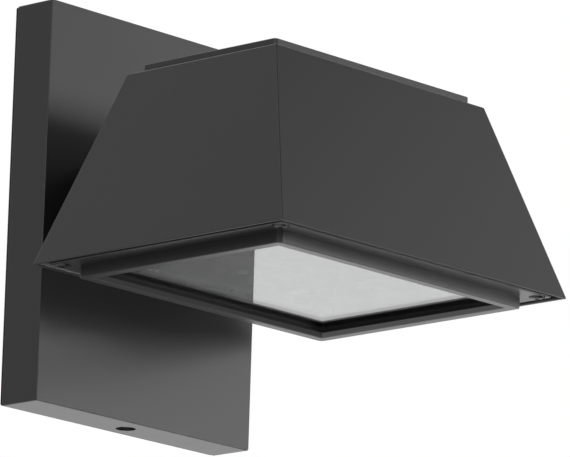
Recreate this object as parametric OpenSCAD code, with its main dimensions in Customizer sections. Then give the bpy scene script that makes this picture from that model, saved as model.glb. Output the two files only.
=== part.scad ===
// Outdoor wall light: a tapered downlight hood on a rectangular back plate.
// X runs along the wall, +Y points into the wall, +Z is up. The origin lies on the wall,
// at the centre of the junction box that the light covers. Lengths are millimetres.

/* [Back plate] */
// Width of the back plate, wide enough to hide a 102 mm octagonal box
plate_w = 114.3; // [110:0.1:140]
// Height of the back plate
plate_h = 152.4; // [146:0.1:180]
// Distance of the back plate's front face from the wall, foam seal included
plate_d = 19.05; // [18:0.05:26]
// Thickness of the back plate's walls
plate_wall = 3; // [2.4:0.1:3.6]
// Radius of the back plate's four corners
plate_corner = 0.8; // [0.6:0.1:6]
// Thickness of the foam seal against the wall
wall_seal_t = 1; // [0.6:0.1:1.4]

/* [Hood] */
// Distance of the hood's centre line from the wall
hood_reach = 96.5; // [94:0.5:120]
// Width of the hood at its lower rim
rim_w = 155.3; // [148:0.1:180]
// Depth of the hood at its lower rim
rim_d = 123.5; // [118:0.1:130]
// Width of the hood's flat roof
top_w = 114.3; // [110:0.1:130]
// Depth of the hood's flat roof
top_d = 74; // [73:0.1:90]
// Height of the hood from rim to roof
hood_h = 72.3; // [70:0.1:90]
// Distance of the rim below the centre of the back plate
rim_drop = 31.4; // [30:0.1:40]
// Thickness of the hood's slanted walls, measured level
hood_wall = 2.4; // [2:0.1:2.8]
// Thickness of the hood's roof
roof_t = 3; // [2.5:0.1:4]
// Thickness of the thin lip round the hood's rim
rim_lip = 1.3; // [0.8:0.1:1.6]
// Thickness of the inner ledge that the lens frame closes on
ledge_t = 3; // [2.5:0.1:4]

/* [Top cap] */
// Margin between the cap and the roof's edge
cap_inset = 4; // [3:0.1:6]
// Height of the cap above the roof, seal included
cap_h = 3.7; // [3.4:0.1:6]
// Thickness of the cap's seal
cap_seal_t = 0.5; // [0.4:0.1:1]

/* [Lens frame] */
// Dark gap between the flange and the hood's lip
flange_gap = 2.7; // [1.5:0.1:2.9]
// Height of the flange's lower face above the rim
flange_recess = 0.3; // [0.2:0.1:1]
// Thickness of the flange
flange_t = 3; // [2.6:0.1:4]
// Margin between the rim's edge and the lens ring
ring_inset = 11.8; // [11.4:0.1:13]
// Distance of the ring's lowest face below the rim
ring_drop = 4.3; // [4:0.1:6]
// Width of the ring's flat lower face
ring_flat = 4.2; // [4:0.1:5]
// Width of the shallow bevel inside the flat face
bevel_w = 2.4; // [2:0.1:3]
// Height of that bevel
bevel_h = 1.5; // [1:0.1:1.6]
// Radius of the ring's outer corners
ring_corner = 2; // [1:0.5:4]
// Depth of the glass above the ring's lowest face
glass_recess = 3.4; // [3.2:0.1:4]
// Thickness of the tempered glass
glass_t = 4; // [3:0.1:4.1]
// Width of glass that rests on the ring
glass_lap = 3; // [2.5:0.1:3.4]
// Gap round the edge of the glass
glass_gap = 0.5; // [0.3:0.1:0.8]
// Thickness of the seal under the glass
lens_seal_t = 0.8; // [0.5:0.1:1]
// Thickness of the seal between flange and ledge
frame_seal_t = 1; // [0.6:0.1:1.5]

/* [Neck] */
// Width of the neck between back plate and hood
neck_w = 60; // [56:0.5:66]
// Height of the neck
neck_h = 44; // [42:0.5:46]
// Distance of the neck's centre below the origin
neck_drop = 2; // [0:0.5:3]
// Thickness of the neck's walls
neck_wall = 3; // [2.5:0.1:4]
// Size of the square corner posts inside the neck
neck_post = 10; // [9:0.5:11]
// Thickness of the flat seal at each end of the neck
neck_seal_t = 1; // [0.6:0.1:1.5]
// Diameter of the lead hole in the back plate
lead_hole_d = 18; // [14:0.5:20]
// Diameter of the grommet's hole in the hood
grommet_hole_d = 14; // [13:0.5:16]
// Diameter of the way through the grommet
grommet_way_d = 9; // [8:0.5:10]

/* [Wall bracket] */
// Width of the bracket's strap
strap_w = 44; // [40:1:52]
// Thickness of the bracket's steel
strap_t = 1.6; // [1.2:0.1:2]
// Length of the bracket's two folded tabs
tab_l = 13.6; // [11:0.1:14]
// Centre distance of the two slots for the box screws
slot_span = 79.4; // [76:0.1:84]
// Length of each slot, end to end
slot_l = 14.3; // [10:0.1:18]
// Width of each slot
slot_w = 4.8; // [4.4:0.1:5.5]
// Diameter of the wire hole in the middle of the strap
wire_hole_d = 22; // [18:1:28]
// Room under the lower tab for the lock screw
lock_room = 9; // [8.5:0.1:12]
// Diameter of the visible lock screw hole
lock_hole_d = 7.6; // [7.4:0.1:9]
// Travel of the lock screw when it is backed off
lock_travel = 5; // [3:0.5:5]

/* [LED engine] */
// Width of the heat sink's base
sink_w = 116; // [110:1:118]
// Depth of the heat sink's base
sink_d = 84; // [80:1:86]
// Thickness of the heat sink's base
sink_t = 3; // [2.5:0.1:4]
// Height of the heat sink's base above the rim
sink_lift = 19.4; // [19:0.1:22]
// Height of the cooling fins
fin_h = 12; // [8:1:16]
// Thickness of each fin
fin_t = 1.5; // [1:0.1:2.5]
// Number of fins
fin_count = 15; // [9:2:17]
// Distance from fin to fin
fin_pitch = 5.6; // [4.5:0.1:5.6]
// Thickness of the light board
board_t = 1.6; // [1:0.1:2]
// Number of optic cells across the width
cell_cols = 4; // [4:2:4]
// Number of optic cells across the depth
cell_rows = 3; // [3:2:3]
// Distance from cell to cell across the width
cell_pitch_x = 20; // [19:0.5:20.5]
// Distance from cell to cell across the depth
cell_pitch_y = 22; // [20:0.5:22]
// Diameter of a cell at its mouth
cell_mouth_d = 18; // [15:0.5:18]
// Diameter of a cell at the light source
cell_throat_d = 6.5; // [6:0.5:8]
// Height of the black optic block
optic_h = 12.4; // [9:0.1:12.6]
// Width and length of one light source
led_size = 3.5; // [2.8:0.1:4]

/* [Driver] */
// Length of the driver housing
driver_w = 72; // [60:1:76]
// Depth of the driver housing
driver_d = 40; // [34:1:42]
// Height of the driver housing
driver_h = 22; // [18:1:24]

/* [Screws] */
// Thread diameter of the four screws of the lens frame
frame_screw_d = 3; // [2.5:0.1:3.5]
// Head diameter of the four screws of the lens frame
frame_screw_head = 5.5; // [5:0.1:6.5]
// Thread diameter of the neck, heat sink and lock screws
main_screw_d = 4; // [3.5:0.1:4.2]
// Thread diameter of the small screws inside
small_screw_d = 3; // [2.5:0.1:3.2]

/* [Leads] */
// Outer diameter of each insulated lead
lead_d = 2; // [1.6:0.1:2.2]

/* [Hidden] */
$fn = 48;

// Finishes
coat = [0.2, 0.2, 0.2];
zinc = [0.72, 0.72, 0.7];
steel = [0.62, 0.62, 0.62];
seal_black = [0.07, 0.07, 0.07];
anodised = [0.12, 0.12, 0.12];

// Overshoot of a cut past the face that it opens
cut = 1;
// Radial clearance of a thread in its hole
thread_gap = 0.05;
// Radial clearance of a screw in a plain hole
hole_gap = 0.25;
// Gap between a piece and the seat that it rests on, across a joint
seat_gap = 0.3;
// Gap at each face of a pushed-in or clamped piece
push_gap = 0.05;
// Radial clearance of a lead in its entry
lead_gap = 0.2;
// Room past the end of a screw in its blind hole, and the same for short screws
end_gap = 0.5;
short_end_gap = 0.3;

// Levels, measured up from the origin
rim_z = -rim_drop;
roof_z = rim_z + hood_h;
ceiling_z = roof_z - roof_t;
flange_z = rim_z + flange_recess;
flange_top_z = flange_z + flange_t;
ledge_z = flange_top_z + frame_seal_t;
ledge_top_z = ledge_z + ledge_t;
ring_z = rim_z - ring_drop;
glass_z = ring_z + glass_recess;
lip_top_z = glass_z - lens_seal_t;
sink_z = rim_z + sink_lift;
sink_top_z = sink_z + sink_t;
board_z = sink_z - board_t;
optic_gap = 0.1;
optic_top_z = board_z - optic_gap;

// The hood's pyramid: half width and half depth at a level
slope_w = (rim_w - top_w) / 2 / hood_h;
slope_d = (rim_d - top_d) / 2 / hood_h;
function half_w(z) = rim_w / 2 - slope_w * (z - rim_z);
function half_d(z) = rim_d / 2 - slope_d * (z - rim_z);
back_tilt = atan(slope_d);

// Half sizes inside the lens frame
ring_half = [rim_w / 2 - ring_inset, rim_d / 2 - ring_inset];
flange_half = [rim_w / 2 - rim_lip - flange_gap, rim_d / 2 - rim_lip - flange_gap];
bevel_half = ring_half - [ring_flat, ring_flat];
lip_half = bevel_half - [bevel_w, bevel_w];
glass_half = lip_half + [glass_lap, glass_lap];
pocket_half = glass_half + [glass_gap, glass_gap];
seal_lap = 1.75;
ledge_half = glass_half - [seal_lap, seal_lap];
seal_margin = 1;
frame_screw_at = (ring_half + flange_half) / 2;
frame_head_h = 1.6;
frame_head_sink = 0.9;
head_recess_gap = 0.3;
frame_thread_l = 7;
frame_boss_d = 8;
boss_skin = 2;
inner_corner = 1;
ring_root = 0.5;

// Room that a screw head needs beside a wall
screw_rim = 6.6;
ceiling_half_d = half_d(ceiling_z) - hood_wall;

// Roof posts for the heat sink, bosses for the driver, screws for the cap
post_at = [48, 28];
post_d = 9;
driver_boss_out = 5;
driver_boss_x = driver_w / 2 + driver_boss_out;
driver_boss_d = 8;
driver_boss_l = 4.5;
driver_tab_t = 1.3;
driver_tab_half = [driver_boss_x + driver_boss_d / 2, 6];
driver_gap = 1.3;
cap_corner = 1.5;
cap_half = [top_w / 2 - cap_inset, top_d / 2 - cap_inset];
cap_seal_set_in = 1;
cap_seal_w = 3;
cap_seal_half = cap_half - [cap_seal_set_in, cap_seal_set_in];
cap_screw_gap = 0.5;
cap_screw_at = [top_w * 0.3, cap_seal_half[1] - cap_seal_w - small_screw_d / 2 - cap_screw_gap];
cap_relief_half = [top_w * 0.175, top_d * 0.16];
roof_screw_y = ceiling_half_d - screw_rim;
cap_thread_l = 2.4;
cap_relief_l = 0.4;
blind_l = 2.2;

// Screw heads and sockets
main_head_d = 7;
main_head_h = 2.6;
small_head_d = 5.5;
small_head_h = 1.8;
ground_head_d = 8.5;
ground_head_h = 3;
optic_head_d = 4.6;
optic_head_h = 1.2;
small_socket = 2;
lock_socket = 3;
post_thread_l = 8;

// Neck
neck_z = -neck_drop;
neck_back_y = -plate_d - neck_seal_t;
back_y = -(hood_reach - rim_d / 2);
function back_face_y(z) = back_y - slope_d * (z - rim_z);
function neck_front_y(z) = back_face_y(z) + neck_seal_t / cos(back_tilt);
neck_screw_x = neck_w / 2 - neck_wall - (neck_post - neck_wall) / 2;
neck_screw_out = 1;
neck_screw_z = neck_h / 2 - neck_wall - (neck_post - neck_wall) / 2 + neck_screw_out;
neck_thread_l = 7;
// The screws through the slanted wall start lower, because they rise towards the wall
tilt_drop = 1.75;
low_screw_lift = 1.5;
function along_slope(z) = (z - rim_z) / cos(back_tilt);
hood_screw_v = [along_slope(neck_z - neck_screw_z - tilt_drop + low_screw_lift),
                along_slope(neck_z + neck_screw_z - tilt_drop)];
grommet_v = (hood_screw_v[0] + hood_screw_v[1]) / 2;
grommet_flange_d = grommet_hole_d + 4;
grommet_flange_t = 1.2;
grommet_bevel = 0.6;
neck_seal_set_in = 0.5;
hood_seal_top = 0.9;
hood_seal_film = 0.02;
wall_normal_t = hood_wall * cos(back_tilt);

// Inside of the back plate, and the bracket in it
plate_back_y = -wall_seal_t;
plate_floor_y = -(plate_d - plate_wall);
cavity_half = [plate_w / 2 - plate_wall, plate_h / 2 - plate_wall];
strap_top_z = cavity_half[1] - seat_gap;
strap_low_z = -cavity_half[1] + lock_room;
bend_r = 1.4;
rib_t = 2;
rib_l = 9;
rib_set_back = 3;
lock_boss_d = 13;
lock_boss_gap = 2;
lock_boss_l = lock_room - lock_boss_gap;
lock_head_gap = 0.3;
lock_head_d = lock_hole_d - 2 * lock_head_gap;
lock_head_h = 3.5;
lock_head_depth = 2;
lock_bore_l = plate_wall + lock_head_depth;
lock_shift = 0.7;
lock_y = lock_shift - (plate_d + wall_seal_t) / 2;
ground_at = [-13, -26];

// Terminal block on the floor of the back plate
block_w = 34;
block_h = 16;
block_d = 9;
block_z = 44;
block_lug = 6;
block_foot_h = 3;
block_lug_t = 2;
block_x = block_w / 2 + block_lug / 2;
wire_entry_d = 4.5;

// Heat sink, optic block, board and connector
sink_corner = 3;
block_corner = 2;
fin_margin = 4;
fin_root = 1;
sink_skin = 0.4;
optic_half = [cell_pitch_x * cell_cols / 2 + 2, cell_pitch_y * cell_rows / 2 + 2];
board_margin = 1;
optic_screw_at = [cell_pitch_x, cell_pitch_y / 2];
connector_w = 6;
connector_d = 10;
connector_h = 4;
connector_gap = 0.5;
connector_floor = 2;
connector_x = optic_half[0] + board_margin + connector_gap;
tab_margin = 2;
tab_end = 1;
notch_w = 8;
notch_d = 14;

// A rectangle about the origin with rounded corners, from squares and circles
module rounded_rect(half, r) {
    square([2 * half[0] - 2 * r, 2 * half[1]], center = true);
    square([2 * half[0], 2 * half[1] - 2 * r], center = true);
    for (x = [-1, 1], y = [-1, 1])
        translate([x * (half[0] - r), y * (half[1] - r)]) circle(r);
}

// A block with rounded upright edges, between two levels
module rounded_block(half, r, z0, z1) {
    translate([0, 0, z0]) linear_extrude(z1 - z0) rounded_rect(half, r);
}

// A plain block about the Z axis, between two levels
module block(half, z0, z1) {
    translate([-half[0], -half[1], z0]) cube([2 * half[0], 2 * half[1], z1 - z0]);
}

// Places children on the hood's centre line
module at_hood() {
    translate([0, -hood_reach, 0]) children();
}

// Repeats children at the four points (+-x, +-y)
module four(at) {
    for (x = [-1, 1], y = [-1, 1]) translate([x * at[0], y * at[1], 0]) children();
}

// Turns children so that their Z axis points into the wall
module to_wall() {
    rotate([-90, 0, 0]) children();
}

// Places children on the hood's slanted back: X across, Y up the slope, Z out towards the wall
module at_back() {
    translate([0, back_y, rim_z]) rotate([back_tilt, 0, 0]) rotate([90, 0, 180]) children();
}

// The slanted screws of the neck
module four_on_back() {
    at_back() for (x = [-1, 1], v = hood_screw_v) translate([x * neck_screw_x, v, 0]) children();
}

// The four screws that hold the neck to the back plate, seen from the wall
module four_on_plate() {
    for (x = [-1, 1], z = [-1, 1])
        translate([x * neck_screw_x, 0, neck_z + z * neck_screw_z]) children();
}

// The solid of the hood's pyramid, drawn in by a level margin, between two levels
module hood_block(margin, z0, z1) {
    w0 = half_w(z0) - margin;
    w1 = half_w(z1) - margin;
    d0 = half_d(z0) - margin;
    d1 = half_d(z1) - margin;
    intersection() {
        rotate([90, 0, 0]) linear_extrude(2 * rim_d, center = true)
            polygon([[-w0, z0], [w0, z0], [w1, z1], [-w1, z1]]);
        rotate([90, 0, 90]) linear_extrude(2 * rim_w, center = true)
            polygon([[-d0, z0], [d0, z0], [d1, z1], [-d1, z1]]);
    }
}

// A screw along +Z: its head lies below Z = 0 and has a hexagon socket
module socket_screw(d, l, head_d, head_h, socket_d) {
    difference() {
        union() {
            cylinder(d = d, h = l);
            translate([0, 0, -head_h]) cylinder(d = head_d, h = head_h);
        }
        translate([0, 0, -head_h - cut]) cylinder(d = socket_d, h = head_h * 0.6 + cut, $fn = 6);
    }
}

// A screw along +Z with a low domed head and a hexagon socket
module button_screw(d, l, head_d, head_h, socket_d) {
    r = head_d / 2;
    difference() {
        union() {
            cylinder(d = d, h = l);
            rotate_extrude() polygon([[0, 0], [r, 0], [r, -0.25 * head_h], [0.92 * r, -0.6 * head_h],
                                      [0.74 * r, -0.88 * head_h], [0.5 * r, -head_h], [0, -head_h]]);
        }
        translate([0, 0, -head_h - cut]) cylinder(d = socket_d, h = head_h * 0.6 + cut, $fn = 6);
    }
}

// A screw along +Z with a cross-slotted pan head
module pan_screw(d, l, head_d, head_h) {
    r = head_d / 2;
    slot = head_d * 0.16;
    difference() {
        union() {
            cylinder(d = d, h = l);
            rotate_extrude() polygon([[0, 0], [r, 0], [r, -0.5 * head_h], [0.8 * r, -head_h], [0, -head_h]]);
        }
        for (a = [0, 90]) rotate([0, 0, a])
            translate([0, 0, -head_h]) cube([head_d * 0.62, slot, head_h], center = true);
    }
}

// Wall bracket: a folded strap that bolts to the junction box
module wall_bracket() {
    outer = [tab_l + bend_r + strap_t, (strap_top_z - strap_low_z) / 2];
    mid_z = (strap_top_z + strap_low_z) / 2;
    color(zinc) difference() {
        translate([-strap_w / 2, 0, mid_z]) rotate([90, 0, 90]) linear_extrude(strap_w) difference() {
            translate([-outer[0], 0]) rounded_rect(outer, bend_r + strap_t);
            translate([-outer[0], 0])
                rounded_rect(outer - [strap_t, strap_t], bend_r);
            translate([-4 * outer[0], -2 * outer[1]]) square([4 * outer[0] - tab_l, 4 * outer[1]]);
        }
        for (z = [-1, 1]) translate([0, cut, z * slot_span / 2]) rotate([90, 0, 0])
            linear_extrude(strap_t + 2 * cut) {
                square([slot_w, slot_l - slot_w], center = true);
                for (e = [-1, 1]) translate([0, e * (slot_l - slot_w) / 2]) circle(d = slot_w);
            }
        translate([0, cut, 0]) rotate([90, 0, 0]) cylinder(d = wire_hole_d, h = strap_t + 2 * cut);
        translate([ground_at[0], cut, ground_at[1]]) rotate([90, 0, 0])
            cylinder(d = main_screw_d + 2 * thread_gap, h = strap_t + 2 * cut);
    }
}

// Ground screw: takes the supply's ground wire on the bracket
module ground_screw() {
    color([0.1, 0.45, 0.2]) translate([ground_at[0], -strap_t, ground_at[1]]) to_wall()
        pan_screw(main_screw_d, strap_t - short_end_gap, ground_head_d, ground_head_h);
}

// Back plate: a shallow box, open to the wall
module back_plate() {
    half = [plate_w / 2, plate_h / 2];
    color(coat) difference() {
        union() {
            difference() {
                rotate([90, 0, 0]) rounded_block(half, plate_corner, -plate_back_y, plate_d);
                rotate([90, 0, 0])
                    rounded_block(cavity_half, inner_corner, -cut, -plate_floor_y);
            }
            // Ribs that keep the bracket's upper tab centred
            for (x = [-1, 1]) translate([x * (strap_w / 2 + seat_gap + rib_t / 2),
                                         (plate_floor_y - rib_set_back) / 2, cavity_half[1] - rib_l / 2])
                cube([rib_t, -plate_floor_y - rib_set_back, rib_l], center = true);
            // Boss for the lock screw
            translate([0, 0, -plate_h / 2]) intersection() {
                translate([0, lock_y, 0]) cylinder(d = lock_boss_d, h = plate_wall + lock_boss_l);
                translate([-plate_w / 2, -plate_d, 0]) cube([plate_w, plate_d + plate_back_y, plate_h]);
            }
            // Feet under the terminal block
            for (x = [-1, 1]) translate([x * block_x, plate_floor_y, block_z])
                to_wall() cylinder(d = block_lug, h = block_foot_h);
        }
        // Lock screw: a wide hole for the head, then the thread
        translate([0, lock_y, -plate_h / 2]) {
            translate([0, 0, -cut]) cylinder(d = lock_hole_d, h = lock_bore_l + cut);
            cylinder(d = main_screw_d + 2 * thread_gap, h = plate_wall + lock_boss_l + cut);
        }
        // Lead hole and the neck's screw holes
        translate([0, -plate_d - cut, neck_z]) to_wall() cylinder(d = lead_hole_d, h = plate_wall + 2 * cut);
        four_on_plate() translate([0, -plate_d - cut, 0]) to_wall()
            cylinder(d = main_screw_d + 2 * hole_gap, h = plate_wall + 2 * cut);
        for (x = [-1, 1]) translate([x * block_x, plate_floor_y - blind_l / 2, block_z])
            to_wall() cylinder(d = small_screw_d + 2 * thread_gap, h = block_foot_h + blind_l / 2 + cut);
    }
}

// Foam seal between the back plate and the wall
module wall_seal() {
    edge = 0.3;
    seal_w = plate_wall - 2 * edge;
    color(seal_black) rotate([90, 0, 0]) linear_extrude(wall_seal_t) difference() {
        rounded_rect([plate_w / 2 - edge, plate_h / 2 - edge], plate_corner);
        rounded_rect([plate_w / 2 - edge - seal_w, plate_h / 2 - edge - seal_w], inner_corner);
    }
}

// Terminal block: three ways, with a lug at each end
module terminal_block() {
    color([0.9, 0.9, 0.87]) difference() {
        union() {
            translate([-block_w / 2, plate_floor_y, block_z - block_h / 2]) cube([block_w, block_d, block_h]);
            for (x = [-1, 1]) translate([x * block_x, plate_floor_y + block_foot_h, block_z])
                to_wall() cylinder(d = block_lug, h = block_lug_t);
            translate([-block_x, plate_floor_y + block_foot_h, block_z - block_lug / 2])
                cube([2 * block_x, block_lug_t, block_lug]);
        }
        // Entries for the supply's wires, on top
        for (x = [-1, 0, 1]) translate([x * block_w / 3, plate_floor_y + block_d / 2, block_z])
            cylinder(d = wire_entry_d, h = block_h);
        // Entries for the leads, below
        for (x = [-1, 0, 1]) translate([x * block_w / 3, plate_floor_y + block_d / 2, block_z - block_h])
            cylinder(d = lead_d + 2 * lead_gap, h = block_h);
        for (x = [-1, 1]) translate([x * block_x, plate_floor_y, block_z])
            to_wall() cylinder(d = small_screw_d + 2 * hole_gap, h = block_d);
    }
}

// Screws of the terminal block
module terminal_screws() {
    l = block_lug_t + block_foot_h + blind_l / 2 - end_gap;
    color(steel) for (x = [-1, 1])
        translate([x * block_x, plate_floor_y + block_foot_h + block_lug_t, block_z])
            rotate([90, 0, 0]) pan_screw(small_screw_d, l, small_head_d, small_head_h);
}

// Flat seal between the back plate and the neck
module neck_seal() {
    color(seal_black) translate([0, -plate_d, neck_z]) rotate([90, 0, 0])
        linear_extrude(neck_seal_t) difference() {
            rounded_rect([neck_w / 2 - neck_seal_set_in, neck_h / 2 - neck_seal_set_in], inner_corner);
            circle(d = lead_hole_d);
            four([neck_screw_x, neck_screw_z]) circle(d = main_screw_d + 2 * hole_gap);
        }
}

// Neck: a hollow arm with a corner post for each screw, cut to the hood's slant
module neck() {
    z0 = neck_z - neck_h / 2;
    z1 = neck_z + neck_h / 2;
    inner = [neck_w / 2 - neck_wall, neck_h / 2 - neck_wall];
    color(coat) difference() {
        rotate([90, 0, 90]) linear_extrude(neck_w, center = true)
            polygon([[neck_back_y, z0], [neck_back_y, z1],
                     [neck_front_y(z1), z1], [neck_front_y(z0), z0]]);
        translate([0, 0, neck_z]) rotate([90, 0, 0]) {
            linear_extrude(hood_reach) square([2 * inner[0], neck_h - 2 * neck_post], center = true);
            linear_extrude(hood_reach) square([neck_w - 2 * neck_post, 2 * inner[1]], center = true);
        }
        four_on_plate() translate([0, neck_back_y + cut, 0]) rotate([90, 0, 0])
            cylinder(d = main_screw_d + 2 * thread_gap, h = neck_thread_l + cut);
        four_on_back() translate([0, 0, neck_seal_t - cut])
            cylinder(d = main_screw_d + 2 * thread_gap, h = neck_thread_l + cut);
    }
}

// Screws from inside the back plate into the neck
module neck_screws() {
    l = plate_wall + neck_seal_t + neck_thread_l - end_gap;
    color(steel) four_on_plate() translate([0, plate_floor_y, 0]) rotate([90, 0, 0])
        pan_screw(main_screw_d, l, main_head_d, main_head_h);
}

// Flat seal between the neck and the hood's slanted back
module hood_seal() {
    v0 = along_slope(neck_z - neck_h / 2) + neck_seal_set_in;
    v1 = along_slope(neck_z + neck_h / 2) - hood_seal_top;
    t = neck_seal_t - 2 * hood_seal_film;
    color(seal_black) at_back() translate([0, 0, hood_seal_film]) linear_extrude(t) difference() {
        translate([0, (v0 + v1) / 2])
            rounded_rect([neck_w / 2 - neck_seal_set_in, (v1 - v0) / 2], inner_corner);
        translate([0, grommet_v]) circle(d = grommet_flange_d + 2 * neck_seal_set_in);
        for (x = [-1, 1], v = hood_screw_v)
            translate([x * neck_screw_x, v]) circle(d = main_screw_d + 2 * hole_gap);
    }
}

// Screws from inside the hood into the neck
module hood_screws() {
    l = wall_normal_t + neck_seal_t + neck_thread_l - end_gap;
    color(steel) four_on_back() translate([0, 0, -wall_normal_t])
        pan_screw(main_screw_d, l, main_head_d, main_head_h);
}

// Rubber grommet that the leads pass through
module grommet() {
    r = grommet_hole_d / 2 - push_gap;
    rf = grommet_flange_d / 2;
    rb = rf - grommet_bevel;
    t = wall_normal_t + 2 * push_gap;
    f = grommet_flange_t;
    color(seal_black) at_back() translate([0, grommet_v, -wall_normal_t / 2]) rotate_extrude()
        polygon([[grommet_way_d / 2, -t / 2 - f], [rb, -t / 2 - f], [rf, -t / 2], [r, -t / 2],
                 [r, t / 2], [rf, t / 2], [rb, t / 2 + f], [grommet_way_d / 2, t / 2 + f]]);
}

// Hood: a tapered shell with a roof, a thin rim lip and an inner ledge for the lens frame
module hood() {
    color(coat) difference() {
        union() {
            at_hood() difference() {
                hood_block(0, rim_z, roof_z);
                hood_block(hood_wall, ledge_top_z, ceiling_z);
            }
            at_hood() intersection() {
                hood_block(0, rim_z, roof_z);
                union() {
                    four(frame_screw_at) translate([0, 0, ledge_z])
                        cylinder(d = frame_boss_d, h = frame_thread_l + boss_skin);
                    four(post_at) translate([0, 0, sink_top_z])
                        cylinder(d = post_d, h = ceiling_z - sink_top_z + cut);
                    for (x = [-1, 1]) translate([x * driver_boss_x, 0, ceiling_z - driver_boss_l])
                        cylinder(d = driver_boss_d, h = driver_boss_l + cut);
                }
            }
        }
        at_hood() {
            // Pocket for the lens frame inside the lip, and the opening in the ledge
            hood_block(rim_lip, rim_z - cut, ledge_z);
            block(ledge_half, ledge_z - cut, ledge_top_z + cut);
            four(frame_screw_at) translate([0, 0, ledge_z - cut])
                cylinder(d = frame_screw_d + 2 * thread_gap, h = frame_thread_l + cut);
            four(post_at) translate([0, 0, sink_top_z - cut])
                cylinder(d = main_screw_d + 2 * thread_gap, h = post_thread_l + cut);
            for (x = [-1, 1]) translate([x * driver_boss_x, 0, ceiling_z - driver_boss_l - cut])
                cylinder(d = small_screw_d + 2 * thread_gap, h = driver_boss_l + blind_l + cut);
            four(cap_screw_at) translate([0, 0, ceiling_z - cut])
                cylinder(d = small_screw_d + 2 * hole_gap, h = roof_t + 2 * cut);
            translate([0, roof_screw_y, ceiling_z - cut])
                cylinder(d = main_screw_d + 2 * thread_gap, h = blind_l + cut);
        }
        four_on_back() translate([0, 0, -wall_normal_t - cut])
            cylinder(d = main_screw_d + 2 * hole_gap, h = wall_normal_t + 2 * cut);
        at_back() translate([0, grommet_v, -wall_normal_t - cut])
            cylinder(d = grommet_hole_d, h = wall_normal_t + 2 * cut);
    }
}

// Ground screw under the hood's roof
module roof_screw() {
    stack = ring_t + 2 * push_gap;
    color([0.1, 0.45, 0.2]) at_hood() translate([0, roof_screw_y, ceiling_z - stack])
        pan_screw(main_screw_d, stack + blind_l - short_end_gap, main_head_d, main_head_h);
}

// Seal under the cap, drawn in so that only a thin line shows
module cap_seal() {
    color(seal_black) at_hood() translate([0, 0, roof_z]) linear_extrude(cap_seal_t) difference() {
        rounded_rect(cap_seal_half, inner_corner);
        rounded_rect(cap_seal_half - [cap_seal_w, cap_seal_w], inner_corner);
    }
}

// Cap: a plate with softened corners on the hood's roof
module top_cap() {
    z0 = roof_z + cap_seal_t;
    color(coat) at_hood() difference() {
        rounded_block(cap_half, cap_corner, z0, roof_z + cap_h);
        four(cap_screw_at) translate([0, 0, z0 - cut])
            cylinder(d = small_screw_d + 2 * thread_gap, h = cap_thread_l + cut);
        rounded_block(cap_relief_half, inner_corner, z0 - cut, z0 + cap_relief_l);
    }
}

// Screws from inside the hood up into the cap
module cap_screws() {
    l = roof_t + cap_seal_t + cap_thread_l - short_end_gap;
    color(steel) at_hood() four(cap_screw_at) translate([0, 0, ceiling_z])
        pan_screw(small_screw_d, l, small_head_d, small_head_h);
}

// Heat sink: a base plate with upright fins, screwed to the roof posts
module heat_sink() {
    fin_l = sink_d - 2 * fin_margin;
    color(anodised) at_hood() difference() {
        union() {
            rounded_block([sink_w / 2, sink_d / 2], sink_corner, sink_z, sink_top_z);
            for (i = [0 : fin_count - 1])
                translate([(i - (fin_count - 1) / 2) * fin_pitch, 0, sink_top_z + (fin_h - fin_root) / 2])
                    cube([fin_t, fin_l, fin_h + fin_root], center = true);
        }
        four(post_at) translate([0, 0, sink_z - cut])
            cylinder(d = main_screw_d + 2 * hole_gap, h = sink_t + 2 * cut);
        four(optic_screw_at) translate([0, 0, sink_z - cut])
            cylinder(d = small_screw_d + 2 * thread_gap, h = sink_t - sink_skin + cut);
        // Notch that the board's two leads pass through
        translate([sink_w / 2 - notch_w, -notch_d / 2, sink_z - cut])
            cube([notch_w + cut, notch_d, sink_t + 2 * cut]);
    }
}

// Screws through the heat sink into the roof posts
module heat_sink_screws() {
    color(steel) at_hood() four(post_at) translate([0, 0, sink_z])
        pan_screw(main_screw_d, sink_t + post_thread_l - end_gap, main_head_d, main_head_h);
}

// Light board, with a tab for its connector
module light_board() {
    half = optic_half + [board_margin, board_margin];
    color([0.85, 0.86, 0.84]) at_hood() difference() {
        union() {
            rounded_block(half, block_corner, board_z, sink_z);
            translate([half[0] - tab_margin, -connector_d / 2 - tab_margin, board_z])
                cube([connector_w + tab_end + tab_margin, connector_d + 2 * tab_margin, board_t]);
        }
        four(optic_screw_at) translate([0, 0, board_z - cut])
            cylinder(d = small_screw_d + 2 * hole_gap, h = board_t + 2 * cut);
    }
}

// Centre of one optic cell, from the hood's centre line
function cell_at(i, j) = [(i - (cell_cols - 1) / 2) * cell_pitch_x, (j - (cell_rows - 1) / 2) * cell_pitch_y];

// Light sources, one to a cell: a square base with a low dome
module leds() {
    base_h = 0.6;
    dome_r = led_size * 0.42;
    dome_lift = 0.1;
    color([0.95, 0.85, 0.45]) at_hood() for (i = [0 : cell_cols - 1], j = [0 : cell_rows - 1])
        translate([cell_at(i, j)[0], cell_at(i, j)[1], board_z]) {
            translate([0, 0, -base_h / 2]) cube([led_size, led_size, base_h], center = true);
            rotate_extrude() intersection() {
                translate([0, dome_lift - base_h]) circle(dome_r);
                translate([0, -base_h - led_size]) square([led_size, led_size]);
            }
        }
}

// Optic block: a black block with a tapered cell round each light source
module optic_block() {
    cell_cut = 0.01;
    color([0.03, 0.03, 0.03]) at_hood() difference() {
        rounded_block(optic_half, block_corner, optic_top_z - optic_h, optic_top_z);
        for (i = [0 : cell_cols - 1], j = [0 : cell_rows - 1])
            translate([cell_at(i, j)[0], cell_at(i, j)[1], optic_top_z - optic_h - cell_cut])
                cylinder(d1 = cell_mouth_d, d2 = cell_throat_d, h = optic_h + 2 * cell_cut);
        four(optic_screw_at) translate([0, 0, optic_top_z - optic_h - cut])
            cylinder(d = small_screw_d + 2 * hole_gap, h = optic_h + 2 * cut);
    }
}

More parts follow.
